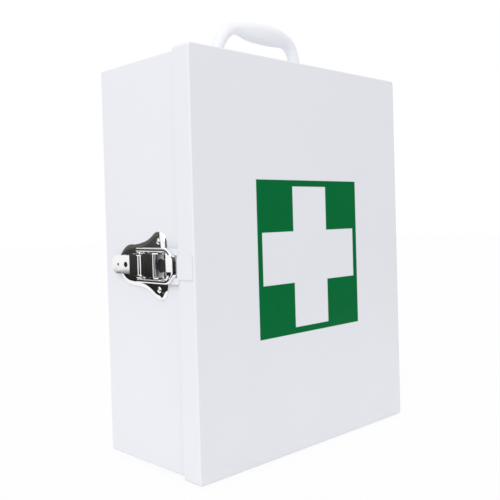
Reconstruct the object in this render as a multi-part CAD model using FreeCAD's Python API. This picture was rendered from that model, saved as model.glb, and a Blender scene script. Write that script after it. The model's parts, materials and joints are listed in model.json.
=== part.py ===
import FreeCAD, Part
import math
import os

Vector = FreeCAD.Vector

# Wall and carry cabinet of folded sheet steel, in millimetres.
# +Z is up, the door faces -Y, the latch is on the -X side and the hinge on the +X side.
# The origin is at the middle of the footprint, on the surface that the feet stand on.

# Shell
door_width = 305.0
door_height = 382.0
cabinet_depth = 139.0
sheet = 1.2
fold_radius = 2.6
door_return = 22.0
door_gap = 2.2
front_lip = 12.0
back_flange = 12.0
corner_relief = 5.0

# Wall screws through the back panel
wall_hole_radius = 3.25
wall_spacing_across = 220.0
wall_spacing_up = 300.0

# Shelves, from the lowest up
shelf_names = ("shelf_lower", "shelf_upper")
shelf_lip = 14.0
shelf_front_room = 8.0
shelf_back_room = 0.6

# Push-in rubber feet
foot_height = 6.0
foot_radius = 9.0
foot_taper = 1.5
foot_inset = 26.0
foot_door_room = 4.0
foot_stem_radius = 3.0
foot_bulb_radius = 4.4
foot_bulb_height = 3.0

# Square sign with an open cross
sign_side = 150.0
sign_thickness = 0.15
sign_border = 6.0
cross_arm = 50.4

# Carrying handle
handle_spacing = 117.6
handle_forward = 3.0
handle_rise = 49.0
handle_bend = 31.0
leg_radius = 6.5
leg_flare_radius = 9.5
leg_flare_height = 7.0
leg_flare_bow = 0.33
grip_top = 9.0
grip_underside = 12.0
grip_half_depth = 10.2
grip_half_length = 24.8
grip_offset = 2.8
grip_sink = 0.3
grip_places = (-1.0, -0.86, -0.66, -0.36, 0.0, 0.36, 0.66, 0.86, 1.0)
top_fullness = 2
underside_fullness = 4
depth_fullness = 3
ring_points = 16
handle_hole_depth = 16.0
handle_screw_radius = 2.5
handle_head_radius = 4.6
handle_head_height = 2.8
handle_head_round = 1.1
handle_recess_length = 5.0
handle_recess_width = 1.2
handle_recess_depth = 1.4
handle_tip_room = 1.2
washer_radius = 7.0
washer_thickness = 1.0
backing_overhang = 14.0
backing_width = 26.0
backing_thickness = 1.6

# Continuous hinge
hinge_inset = 10.0
hinge_knuckles = 13
knuckle_radius = 3.0
hinge_pin_radius = 1.3
hinge_leaf = 1.0
hinge_leaf_width = 16.0
knuckle_gap = 0.4
knuckle_room = 0.6

# Rivets of the hinge and the latch
rivets_per_compartment = 2
rivet_radius = 1.6
rivet_head_radius = 3.0
rivet_head_height = 0.9
rivet_tail_radius = 2.4
rivet_tail_height = 0.6

# Draw latch: places are measured back from the front of its loop, heights outward from the body's side
latch_setback = 25.1
latch_drop = 1.5
plate = 1.2
base_height = 3.0
base_edge_radius = 2.6
base_tail = 90.4
tail_round = 5.0
tail_half_width = 10.5
base_half_width = 20.2
shoulder_drop = 1.8
base_front = 15.1
front_half_width = 17.0
wing_tip = 31.6
wing_tip_place = 25.9
wing_shoulder = 8.5
wing_sweep = 3.4
base_hole_radius = 6.5
base_hole_place = 23.4
wing_rivet_place = 25.4
wing_rivet_offset = 22.0
pivot_height = 6.4
lever_pivot_place = 27.0
loop_pivot_place = 48.4
lever_pin_radius = 1.5
loop_pin_radius = 1.3
barrel_wall = 1.2
lever_half_width = 10.2
lever_bend_place = 50.8
lever_step_place = 67.2
lever_end_place = 93.0
lever_plate = 1.4
lever_plate_height = 7.4
tab_half_width = 8.8
tab_low = 4.4
tab_high = 6.2
tab_small_hole_radius = 1.0
tab_small_hole_place = 83.4
tab_large_hole_radius = 2.3
tab_large_hole_place = 72.6
ear_gap = 0.4
ear_front_inset = 1.2
ear_back_place = 44.4
ear_slope = 3.0
ear_height = 7.6
loop_half_width = 16.1
arm_gap = 0.7
arm_height = 4.0
arm_round = 1.2
arm_overhang = 5.8
nose_length = 8.4
nose_top = 9.8
nose_wall = 2.0
nose_roof = 1.6
nose_corner_radius = 11.5
nose_round = 3.6
tongue_half_width = 9.6
tongue_low = 2.4
hook_clearance = 0.4

# Catch strap on the door
strap_thickness = 1.6
strap_half_height = 11.25
strap_head_half_height = 15.8
strap_head_round = 1.5
strap_corner_gap = 1.4
window_room = 3.4
window_front_rim = 1.4
window_back_rim = 3.0

# Running fit of pins and screws in their bores, and how near counts as lying on a face
fit = 0.05
touch = 0.01

# Places that follow from the sizes above
step = sheet + door_gap
body_width = door_width - 2 * step
body_height = door_height - 2 * step
front_y = -cabinet_depth / 2
back_y = cabinet_depth / 2
body_front_y = front_y + step
body_bottom = foot_height
body_top = body_bottom + body_height
door_bottom = body_bottom - step
middle_z = door_bottom + door_height / 2
inner_half_width = body_width / 2 - sheet
inner_bottom = body_bottom + sheet
inner_top = body_top - sheet
inner_fold = fold_radius - sheet
return_edge_y = front_y + door_return
latch_z = middle_z - latch_drop
latch_side_x = -body_width / 2
latch_front_y = front_y + latch_setback
hinge_side_x = body_width / 2
hinge_x = hinge_side_x + knuckle_radius
hinge_y = return_edge_y + knuckle_radius + knuckle_room
hinge_bottom = door_bottom + hinge_inset
hinge_length = door_height - 2 * hinge_inset
leg_hole_radius = handle_screw_radius + fit
compartment_count = len(shelf_names) + 1
compartment = (inner_top - inner_bottom) / compartment_count


def block(x0, x1, y0, y1, z0, z1):
    return Part.makeBox(x1 - x0, y1 - y0, z1 - z0, Vector(x0, y0, z0))


def rod(start, direction, radius, length):
    return Part.makeCylinder(radius, length, start, direction)


def round_edges(shape, radius, chosen):
    return shape.makeFillet(radius, [edge for edge in shape.Edges if chosen(edge)])


def runs_along_y(edge):
    return abs(edge.tangentAt(edge.FirstParameter).y) > 0.99


def fused(shapes):
    whole = shapes[0]
    for shape in shapes[1:]:
        whole = whole.fuse(shape)
    return whole.removeSplitter()


def save(node, shape):
    shape.exportStep("parts/" + node + ".step")
    print(node, len(shape.Solids), round(shape.Volume, 2), shape.isValid())


def rivet(seat, outward, grip):
    # One rivet: a domed head on the seat, a shank through the grip and a flat tail behind it.
    dome_radius = (rivet_head_radius ** 2 + rivet_head_height ** 2) / (2 * rivet_head_height)
    dome_centre = seat + outward * (rivet_head_height - dome_radius)
    head = rod(seat, outward, rivet_head_radius, rivet_head_height)
    head = head.common(Part.makeSphere(dome_radius, dome_centre))
    shank = rod(seat, outward * -1, rivet_radius, grip)
    tail_seat = seat - outward * grip
    tail = rod(tail_seat, outward * -1, rivet_tail_radius, rivet_tail_height)
    return fused([head, shank, tail])


def rivet_hole(seat, outward, grip):
    return rod(seat, outward * -1, rivet_radius + fit, grip)


def tray(half_width, y0, y1, z0, z1, radius):
    # A closed block whose front edges and long edges are folded to the same radius.
    shape = block(-half_width, half_width, y0, y1, z0, z1)
    edges = []
    for edge in shape.Edges:
        at_front = edge.BoundBox.YMax < y0 + radius / 2
        if at_front or runs_along_y(edge):
            edges.append(edge)
    return shape.makeFillet(radius, edges)


def sleeve(half_width, y0, y1, z0, z1, radius):
    # A closed block with only its long edges folded.
    return round_edges(block(-half_width, half_width, y0, y1, z0, z1), radius, runs_along_y)


# Rivet seats: the hinge has its rivets between the shelves
rivet_pitch = compartment / rivets_per_compartment
rivet_count = compartment_count * rivets_per_compartment
rivet_heights = [inner_bottom + rivet_pitch * (index + 0.5) for index in range(rivet_count)]
body_leaf_y1 = hinge_y + knuckle_radius + hinge_leaf_width
door_leaf_y0 = hinge_y - knuckle_radius - hinge_leaf_width
door_leaf_x1 = door_width / 2 - sheet
door_leaf_x0 = door_leaf_x1 - hinge_leaf
outward_left = Vector(-1, 0, 0)
outward_right = Vector(1, 0, 0)
body_rivet_y = body_leaf_y1 - hinge_leaf_width / 2
door_rivet_y = door_leaf_y0 + hinge_leaf_width / 2
body_rivet_seats = [Vector(hinge_side_x + hinge_leaf, body_rivet_y, z) for z in rivet_heights]
door_rivet_seats = [Vector(door_width / 2, door_rivet_y, z) for z in rivet_heights]
hinge_rivet_grip = hinge_leaf + sheet
wing_rivet_grip = base_height + sheet
wing_rivet_x = latch_side_x - base_height
wing_rivet_y = latch_front_y + wing_rivet_place
wing_rivet_seats = [
    Vector(wing_rivet_x, wing_rivet_y, latch_z + side * wing_rivet_offset) for side in (-1, 1)
]

# Feet and handle places
foot_x = body_width / 2 - foot_inset
foot_front_y = return_edge_y + foot_radius + foot_door_room
foot_rear_y = back_y - foot_inset
foot_places = {
    "foot_front_left": (-foot_x, foot_front_y),
    "foot_front_right": (foot_x, foot_front_y),
    "foot_rear_left": (-foot_x, foot_rear_y),
    "foot_rear_right": (foot_x, foot_rear_y),
}
leg_places = [Vector(x, -handle_forward, 0) for x in (-handle_spacing / 2, handle_spacing / 2)]


def make_body_wrap():
    # Sides, top and bottom in one folded sheet.
    shape = sleeve(body_width / 2, body_front_y, back_y, body_bottom, body_top, fold_radius)
    shape = shape.cut(sleeve(inner_half_width, body_front_y, back_y, inner_bottom, inner_top, inner_fold))
    up = Vector(0, 0, 1)
    for leg in leg_places:
        shape = shape.cut(rod(leg + up * inner_top, up, leg_hole_radius, sheet))
    for x, y in foot_places.values():
        shape = shape.cut(rod(Vector(x, y, body_bottom), up, foot_stem_radius + fit, sheet))
    for seat in body_rivet_seats:
        shape = shape.cut(rivet_hole(seat, outward_right, hinge_rivet_grip))
    for seat in wing_rivet_seats:
        shape = shape.cut(rivet_hole(seat, outward_left, wing_rivet_grip))
    return shape


def make_front_frame():
    # Flat frame welded into the mouth of the body.
    frame_back_y = body_front_y + sheet
    shape = sleeve(inner_half_width, body_front_y, frame_back_y, inner_bottom, inner_top, inner_fold)
    return shape.cut(block(
        front_lip - inner_half_width, inner_half_width - front_lip, body_front_y, frame_back_y,
        inner_bottom + front_lip, inner_top - front_lip,
    ))


def make_back_panel():
    # Flat sheet that stands on the floor of the body, with a flange turned forward
    # at each side, relieved at the corners, and four wall holes.
    sheet_front = back_y - sheet
    flange_front = back_y - back_flange
    panel = block(-inner_half_width, inner_half_width, sheet_front, back_y, inner_bottom, inner_top)
    panel = round_edges(panel, corner_relief, runs_along_y)
    pieces = [panel]
    for side in (-1, 1):
        x0 = side * inner_half_width
        x1 = x0 - side * sheet
        pieces.append(block(
            min(x0, x1), max(x0, x1), flange_front, back_y,
            inner_bottom + corner_relief, inner_top - corner_relief,
        ))
    shape = fused(pieces)
    for x in (-wall_spacing_across / 2, wall_spacing_across / 2):
        for rise in (-wall_spacing_up / 2, wall_spacing_up / 2):
            start = Vector(x, sheet_front, middle_z + rise)
            shape = shape.cut(rod(start, Vector(0, 1, 0), wall_hole_radius, sheet))
    return shape


def make_shelf(z):
    # Flat sheet between the sides with its four edges turned down.
    y0 = body_front_y + sheet + shelf_front_room
    y1 = back_y - back_flange - shelf_back_room
    shape = block(-inner_half_width, inner_half_width, y0, y1, z - shelf_lip, z)
    hollow = block(
        -inner_half_width + sheet, inner_half_width - sheet,
        y0 + sheet, y1 - sheet, z - shelf_lip, z - sheet,
    )
    return shape.cut(hollow)


def make_foot(x, y):
    # Tapered rubber bumper with a stem through the sheet and a bulb that holds it.
    up = Vector(0, 0, 1)
    bumper = Part.makeCone(foot_radius - foot_taper, foot_radius, foot_height, Vector(x, y, 0), up)
    stem = rod(Vector(x, y, foot_height), up, foot_stem_radius, sheet)
    bulb = Part.makeCone(
        foot_bulb_radius, foot_stem_radius, foot_bulb_height, Vector(x, y, foot_height + sheet), up
    )
    return fused([bumper, stem, bulb])


def make_door_panel():
    # Shallow tray: the front face and four returns that reach back over the body.
    half = door_width / 2
    door_top = door_bottom + door_height
    outside = tray(half, front_y, return_edge_y, door_bottom, door_top, fold_radius)
    inside = tray(
        half - sheet, front_y + sheet, return_edge_y,
        door_bottom + sheet, door_top - sheet, inner_fold,
    )
    shape = outside.cut(inside)
    for seat in door_rivet_seats:
        shape = shape.cut(rivet_hole(seat, outward_right, hinge_rivet_grip))
    return shape


def make_emblem_label():
    y0 = front_y - sign_thickness
    half = sign_side / 2
    reach = half - sign_border
    arm = cross_arm / 2
    square = block(-half, half, y0, front_y, middle_z - half, middle_z + half)
    upright = block(-arm, arm, y0, front_y, middle_z - reach, middle_z + reach)
    level = block(-reach, reach, y0, front_y, middle_z - arm, middle_z + arm)
    return square.cut(upright.fuse(level))


def make_handle_leg(foot, inward):
    # Round leg with a flared foot, and the quarter bend that takes it inward.
    up = Vector(0, 0, 1)
    across = Vector(1, 0, 0)
    flare_top = foot + up * leg_flare_height
    flare_edge = foot + across * leg_flare_radius
    neck_edge = flare_top + across * leg_radius
    hollow_radius = leg_radius + (leg_flare_radius - leg_radius) * leg_flare_bow
    hollow = foot + across * hollow_radius + up * (leg_flare_height * leg_flare_bow)
    curve = Part.Arc(flare_edge, hollow, neck_edge).toShape()
    straight = Part.makePolygon([neck_edge, flare_top, foot, flare_edge])
    profile = Part.Face(Part.Wire(Part.__sortEdges__([curve] + straight.Edges)))
    bend_foot = foot + up * (handle_rise - handle_bend)
    ring = Part.Face(Part.Wire([Part.makeCircle(leg_radius, bend_foot, up)]))
    return [
        profile.revolve(foot, up, 360),
        rod(foot, up, leg_radius, handle_rise - handle_bend),
        ring.revolve(bend_foot + across * (inward * handle_bend), Vector(0, inward, 0), 90),
    ]


def make_grip():
    # Thick grip around the middle of the bar: each ring is an oval, deeper below than above.
    sunk = leg_radius - grip_sink
    sections = []
    for place in grip_places:
        above, below, deep = (
            sunk + (size - sunk) * (1 - abs(place) ** fullness)
            for size, fullness in (
                (grip_top, top_fullness),
                (grip_underside, underside_fullness),
                (grip_half_depth, depth_fullness),
            )
        )
        centre = Vector(grip_offset + place * grip_half_length, -handle_forward, body_top + handle_rise)
        ring = []
        for index in range(ring_points):
            angle = 2 * math.pi * index / ring_points
            high = math.cos(angle) * (above if math.cos(angle) > 0 else below)
            ring.append(centre + Vector(0, deep * math.sin(angle), high))
        curve = Part.BSplineCurve()
        curve.interpolate(ring, PeriodicFlag=True)
        sections.append(Part.Wire([curve.toShape()]))
    return Part.makeLoft(sections, True)


def make_handle():
    # Round bar bent down at both ends, with the grip moulded around its middle and a screw hole in each leg.
    up = Vector(0, 0, 1)
    bar_end = handle_spacing / 2 - handle_bend
    bar_start = Vector(-bar_end, -handle_forward, body_top + handle_rise)
    pieces = [make_grip(), rod(bar_start, Vector(1, 0, 0), leg_radius, 2 * bar_end)]
    for leg, inward in zip(leg_places, (1, -1)):
        pieces += make_handle_leg(leg + up * body_top, inward)
    shape = fused(pieces)
    for leg in leg_places:
        shape = shape.cut(rod(leg + up * body_top, up, leg_hole_radius, handle_hole_depth))
    return shape


def make_handle_backing_plate():
    half = handle_spacing / 2 + backing_overhang
    y0 = -handle_forward - backing_width / 2
    z0 = inner_top - backing_thickness
    up = Vector(0, 0, 1)
    shape = block(-half, half, y0, y0 + backing_width, z0, inner_top)
    for leg in leg_places:
        shape = shape.cut(rod(leg + up * z0, up, leg_hole_radius, backing_thickness))
    return shape


def make_handle_washers():
    z0 = inner_top - backing_thickness - washer_thickness
    up = Vector(0, 0, 1)
    rings = []
    for leg in leg_places:
        seat = leg + up * z0
        ring = rod(seat, up, washer_radius, washer_thickness)
        rings.append(ring.cut(rod(seat, up, leg_hole_radius, washer_thickness)))
    return Part.makeCompound(rings)


def make_handle_screws():
    # Pan heads with a cross recess, shanks up into the legs.
    seat = inner_top - backing_thickness - washer_thickness
    tip = body_top + handle_hole_depth - handle_tip_room
    up = Vector(0, 0, 1)
    low = seat - handle_head_height
    half_long = handle_recess_length / 2
    half_wide = handle_recess_width / 2
    screws = []
    for leg in leg_places:
        head = rod(leg + up * low, up, handle_head_radius, handle_head_height)
        head = round_edges(head, handle_head_round, lambda edge: edge.BoundBox.ZMax < low + touch)
        for half_x, half_y in ((half_long, half_wide), (half_wide, half_long)):
            head = head.cut(block(
                leg.x - half_x, leg.x + half_x, leg.y - half_y, leg.y + half_y, low, low + handle_recess_depth,
            ))
        screws.append(fused([head, rod(leg + up * seat, up, handle_screw_radius, tip - seat)]))
    return Part.makeCompound(screws)


def knuckle_spans(first):
    pitch = hinge_length / hinge_knuckles
    spans = []
    for index in range(first, hinge_knuckles, 2):
        z0 = hinge_bottom + pitch * index
        spans.append((z0 + knuckle_gap / 2, z0 + pitch - knuckle_gap / 2))
    return spans


def make_hinge_leaf(x0, y0, y1, first, seats):
    # One leaf with every other knuckle, bored for the pin.
    up = Vector(0, 0, 1)
    centre = Vector(hinge_x, hinge_y, hinge_bottom)
    leaf = block(x0, x0 + hinge_leaf, y0, y1, hinge_bottom, hinge_bottom + hinge_length)
    leaf = leaf.cut(rod(centre, up, knuckle_radius + knuckle_gap, hinge_length))
    pieces = [leaf]
    for z0, z1 in knuckle_spans(first):
        start = Vector(hinge_x, hinge_y, z0)
        pieces.append(rod(start, up, knuckle_radius, z1 - z0))
        pieces.append(block(x0, x0 + hinge_leaf, y0, y1, z0, z1))
    shape = fused(pieces)
    shape = shape.cut(rod(centre, up, hinge_pin_radius + fit, hinge_length))
    for seat in seats:
        shape = shape.cut(rivet_hole(seat, outward_right, hinge_rivet_grip))
    return shape


def make_hinge_pin():
    return rod(Vector(hinge_x, hinge_y, hinge_bottom), Vector(0, 0, 1), hinge_pin_radius, hinge_length)


def make_rivets(seats, outward, grip):
    return Part.makeCompound([rivet(seat, outward, grip) for seat in seats])


# Latch pieces are drawn with a place along the side, a height outward from it
# and a rise from the latch's middle.
def latch_point(place, height, rise):
    return Vector(latch_side_x - height, latch_front_y + place, latch_z + rise)


def side_prism(outline, rise0, rise1):
    # Outline of (place, height) points, run from one rise to the other.
    corners = [latch_point(place, height, rise0) for place, height in outline]
    face = Part.Face(Part.makePolygon(corners + corners[:1]))
    return face.extrude(Vector(0, 0, rise1 - rise0))


def latch_block(place0, place1, height0, height1, rise0, rise1):
    low = latch_point(place0, height1, rise0)
    high = latch_point(place1, height0, rise1)
    return block(low.x, high.x, low.y, high.y, low.z, high.z)


def latch_rod(place, height, radius, rise0, rise1):
    return rod(latch_point(place, height, rise0), Vector(0, 0, 1), radius, rise1 - rise0)


def outward_rod(place, rise, radius, height0, height1):
    return rod(latch_point(place, height0, rise), outward_left, radius, height1 - height0)


def base_outline(inset):
    # Winged outline of the latch base: a round tail, swept shoulders, two wings and a straight front.
    # The inset gives the same outline drawn that far inside.
    tail_end = base_tail - inset
    front = base_front + inset
    half_width = base_half_width - inset
    tip = wing_tip - inset
    shoulder = wing_shoulder - inset
    upper = [
        latch_point(tail_end - tail_round, 0, tail_half_width),
        latch_point(tail_end - 3 * tail_round, 0, half_width - shoulder_drop),
        latch_point(tail_end - 6 * tail_round, 0, half_width),
        latch_point(wing_tip_place + 2 * shoulder, 0, half_width + wing_sweep),
        latch_point(wing_tip_place + shoulder, 0, tip - wing_sweep),
    ]
    wing_middle = latch_point(wing_tip_place, 0, tip)
    wing_end = latch_point(front + plate, 0, tip - 2 * wing_sweep)
    front_end = latch_point(front, 0, front_half_width)
    tail = latch_point(tail_end, 0, 0)

    def mirrored(point):
        return Vector(point.x, point.y, 2 * latch_z - point.z)

    sweep = Part.BSplineCurve()
    sweep.interpolate(upper)
    half = [
        sweep.toShape(),
        Part.Arc(upper[-1], wing_middle, wing_end).toShape(),
        Part.makeLine(wing_end, front_end),
    ]
    middle = latch_point(0, 0, 0)
    other = [edge.mirror(middle, Vector(0, 0, 1)) for edge in half]
    ends = [
        Part.Arc(mirrored(upper[0]), tail, upper[0]).toShape(),
        Part.makeLine(front_end, mirrored(front_end)),
    ]
    return Part.Wire(Part.__sortEdges__(half + other + ends))


def make_latch_base():
    # Pressed pan: a raised floor with rolled edges, a round hole and two ears for the lever's pin.
    outer = Part.Face(base_outline(0)).extrude(outward_left * base_height)
    top_x = latch_side_x - base_height
    outer = round_edges(outer, base_edge_radius, lambda edge: edge.BoundBox.XMax < top_x + touch)
    hollow = Part.Face(base_outline(plate)).extrude(outward_left * (base_height - plate))
    shape = outer.cut(hollow)
    for side in (-1, 1):
        rise = side * wing_rivet_offset
        shape = shape.fuse(outward_rod(wing_rivet_place, rise, rivet_head_radius, 0, base_height - plate))
    ear_inner = lever_half_width + ear_gap
    ear_front = base_front + ear_front_inset
    ear_foot = base_height - plate / 2
    ear_outline = [
        (ear_front, ear_foot), (ear_back_place, ear_foot),
        (ear_back_place - ear_slope, ear_height), (ear_front + ear_slope, ear_height),
    ]
    for side in (-1, 1):
        rise0 = min(side * ear_inner, side * (ear_inner + plate))
        rise1 = rise0 + plate
        shape = shape.fuse(side_prism(ear_outline, rise0, rise1))
        shape = shape.fuse(latch_rod(lever_pivot_place, pivot_height, lever_pin_radius + plate, rise0, rise1))
    shape = shape.removeSplitter()
    shape = shape.cut(outward_rod(base_hole_place, 0, base_hole_radius, 0, base_height + plate))
    reach = ear_inner + plate
    shape = shape.cut(latch_rod(lever_pivot_place, pivot_height, lever_pin_radius + fit, -reach, reach))
    for seat in wing_rivet_seats:
        shape = shape.cut(rivet_hole(seat, outward_left, wing_rivet_grip))
    return shape


def make_latch_lever_pin():
    reach = lever_half_width + ear_gap + plate
    return latch_rod(lever_pivot_place, pivot_height, lever_pin_radius, -reach, reach)


def make_latch_loop_pin():
    return latch_rod(loop_pivot_place, pivot_height, loop_pin_radius, -loop_half_width, loop_half_width)


def make_latch_lever():
    # Bent plate with a finger tab, hung on a barrel, with a second barrel for the loop's pin.
    lever_barrel = lever_pin_radius + fit + barrel_wall
    loop_barrel = loop_pin_radius + fit + barrel_wall
    top = pivot_height + lever_barrel
    low = lever_plate_height - lever_plate
    outline = [
        (lever_pivot_place, low), (lever_bend_place, low), (lever_step_place, tab_low),
        (lever_end_place, tab_high), (lever_end_place, tab_high + lever_plate),
        (lever_step_place, tab_low + lever_plate), (lever_bend_place, lever_plate_height),
        (lever_pivot_place, lever_plate_height),
    ]
    bent_plate = side_prism(outline, -lever_half_width, lever_half_width)
    tab_end = lever_end_place - tab_half_width
    plan = fused([
        latch_block(lever_pivot_place, lever_step_place, 0, top, -lever_half_width, lever_half_width),
        latch_block(lever_step_place, tab_end, 0, top, -tab_half_width, tab_half_width),
        outward_rod(tab_end, 0, tab_half_width, 0, top),
    ])
    pieces = [
        bent_plate.common(plan),
        latch_rod(lever_pivot_place, pivot_height, lever_barrel, -lever_half_width, lever_half_width),
        latch_rod(loop_pivot_place, pivot_height, loop_barrel, -lever_half_width, lever_half_width),
    ]
    shape = fused(pieces)
    pins = ((lever_pivot_place, lever_pin_radius), (loop_pivot_place, loop_pin_radius))
    for place, radius in pins:
        shape = shape.cut(latch_rod(place, pivot_height, radius + fit, -lever_half_width, lever_half_width))
    holes = ((tab_small_hole_place, tab_small_hole_radius), (tab_large_hole_place, tab_large_hole_radius))
    for place, radius in holes:
        shape = shape.cut(outward_rod(place, 0, radius, 0, top))
    return shape


def nose_block(inset, height0, height1):
    # Front of the loop, with broad round corners, drawn that far inside its outer faces.
    length = nose_corner_radius + nose_round
    half_width = loop_half_width - inset
    solid = latch_block(inset, length, height0, height1, -half_width, half_width)
    front = latch_front_y + inset + touch
    return round_edges(
        solid, nose_corner_radius - inset,
        lambda edge: edge.BoundBox.YMax < front and edge.BoundBox.XLength > touch,
    )


def make_latch_loop():
    # Frame of two arms on the loop's pin, and a rounded nose with a tongue that hooks into the catch.
    arm_inner = lever_half_width + ear_gap + plate + arm_gap
    arm_low = pivot_height - arm_height / 2
    arm_high = pivot_height + arm_height / 2
    arm_start = nose_corner_radius
    nose_low = step + strap_thickness + hook_clearance
    nose_end = nose_corner_radius + nose_round
    top_x = latch_side_x - nose_top
    nose = nose_block(0, tongue_low, nose_top)
    nose = round_edges(nose, nose_round, lambda edge: edge.BoundBox.XMax < top_x + touch)
    nose = nose.cut(nose_block(nose_wall, 0, nose_top - nose_roof))
    nose = nose.cut(latch_block(nose_length, nose_end, 0, nose_top, -arm_inner, arm_inner))
    for side in (-1, 1):
        rises = sorted((side * tongue_half_width, side * loop_half_width))
        nose = nose.cut(latch_block(0, nose_end, 0, nose_low, *rises))
    pieces = [nose]
    eye_radius = loop_pin_radius + fit + barrel_wall
    for side in (-1, 1):
        rises = sorted((side * arm_inner, side * loop_half_width))
        arm = latch_block(arm_start, loop_pivot_place + arm_overhang, arm_low, arm_high, *rises)
        pieces.append(round_edges(arm, arm_round, runs_along_y))
        pieces.append(latch_rod(loop_pivot_place, pivot_height, eye_radius, *rises))
    shape = fused(pieces)
    return shape.cut(
        latch_rod(loop_pivot_place, pivot_height, loop_pin_radius + fit, -loop_half_width, loop_half_width)
    )


def make_latch_catch():
    # Painted strap on the door's side with a wide head, and a window in it for the loop's tongue.
    strap_top = step + strap_thickness
    strap_front = strap_corner_gap - latch_setback
    corner_rise = tongue_half_width - (loop_half_width - nose_corner_radius)
    inner_radius = nose_corner_radius - nose_wall
    tongue_back = nose_corner_radius - math.sqrt(inner_radius ** 2 - max(corner_rise, 0) ** 2)
    window_back = tongue_back + hook_clearance
    head_back = window_back + window_back_rim
    head_front = -window_room - window_front_rim
    window_half = tongue_half_width + hook_clearance
    head = latch_block(
        head_front, head_back, step, strap_top, -strap_head_half_height, strap_head_half_height,
    )
    head = round_edges(head, strap_head_round, lambda edge: edge.BoundBox.XLength > touch)
    strap = latch_block(strap_front, head_back, step, strap_top, -strap_half_height, strap_half_height)
    window = latch_block(-window_room, window_back, step, strap_top, -window_half, window_half)
    return fused([strap, head]).cut(window)


os.makedirs("parts", exist_ok=True)

save("body_wrap", make_body_wrap())
save("front_frame", make_front_frame())
save("back_panel", make_back_panel())
for index, name in enumerate(shelf_names):
    save(name, make_shelf(inner_bottom + compartment * (index + 1)))
for name, (x, y) in foot_places.items():
    save(name, make_foot(x, y))
save("handle", make_handle())
save("handle_backing_plate", make_handle_backing_plate())
save("handle_washers", make_handle_washers())
save("handle_screws", make_handle_screws())
save("hinge_body_leaf", make_hinge_leaf(hinge_side_x, hinge_y, body_leaf_y1, 0, body_rivet_seats))
save("hinge_pin", make_hinge_pin())
save("hinge_body_rivets", make_rivets(body_rivet_seats, outward_right, hinge_rivet_grip))
save("latch_base", make_latch_base())
save("latch_base_rivets", make_rivets(wing_rivet_seats, outward_left, wing_rivet_grip))
save("latch_lever_pin", make_latch_lever_pin())
save("door_panel", make_door_panel())
save("emblem_label", make_emblem_label())
save("hinge_door_leaf", make_hinge_leaf(door_leaf_x0, door_leaf_y0, hinge_y, 1, door_rivet_seats))
save("hinge_door_rivets", make_rivets(door_rivet_seats, outward_right, hinge_rivet_grip))
save("latch_catch", make_latch_catch())
save("latch_lever", make_latch_lever())
save("latch_loop_pin", make_latch_loop_pin())
save("latch_loop", make_latch_loop())
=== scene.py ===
import json
import math

import bmesh
import bpy
from mathutils import Matrix, Vector, geometry, kdtree


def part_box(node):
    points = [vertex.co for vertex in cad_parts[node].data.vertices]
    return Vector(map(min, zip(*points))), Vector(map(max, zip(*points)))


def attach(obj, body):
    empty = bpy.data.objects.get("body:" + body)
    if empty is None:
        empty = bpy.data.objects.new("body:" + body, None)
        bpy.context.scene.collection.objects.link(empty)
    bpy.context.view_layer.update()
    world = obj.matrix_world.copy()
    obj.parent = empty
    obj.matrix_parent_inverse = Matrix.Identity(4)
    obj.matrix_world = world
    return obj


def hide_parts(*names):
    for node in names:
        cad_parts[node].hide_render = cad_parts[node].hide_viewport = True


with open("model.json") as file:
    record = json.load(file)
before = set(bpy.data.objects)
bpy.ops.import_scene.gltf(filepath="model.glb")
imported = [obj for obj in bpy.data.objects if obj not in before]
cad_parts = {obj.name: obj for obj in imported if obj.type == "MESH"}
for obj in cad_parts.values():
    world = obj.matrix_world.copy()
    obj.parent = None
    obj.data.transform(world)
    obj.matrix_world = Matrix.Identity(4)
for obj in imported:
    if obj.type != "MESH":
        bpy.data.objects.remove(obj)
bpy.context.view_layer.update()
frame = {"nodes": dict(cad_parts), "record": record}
nodes = frame["nodes"]
mm = 0.001
white = (1.0, 1.0, 1.0, 1.0)
print("frame loaded:", len(nodes), "nodes")


class Wire:                                     # a node's output, ready for sums
    def __init__(self, finish, socket):
        self.finish = finish
        self.socket = socket

    def calc(self, operation, first, second):
        return self.finish.add("ShaderNodeMath", {"operation": operation}, {0: first, 1: second})

    def __add__(self, other):
        return self.calc("ADD", self, other)

    def __radd__(self, other):
        return self.calc("ADD", other, self)

    def __sub__(self, other):
        return self.calc("SUBTRACT", self, other)

    def __rsub__(self, other):
        return self.calc("SUBTRACT", other, self)

    def __mul__(self, other):
        return self.calc("MULTIPLY", self, other)

    def __rmul__(self, other):
        return self.calc("MULTIPLY", other, self)

    def larger(self, other):
        return self.calc("MAXIMUM", self, other)


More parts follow.
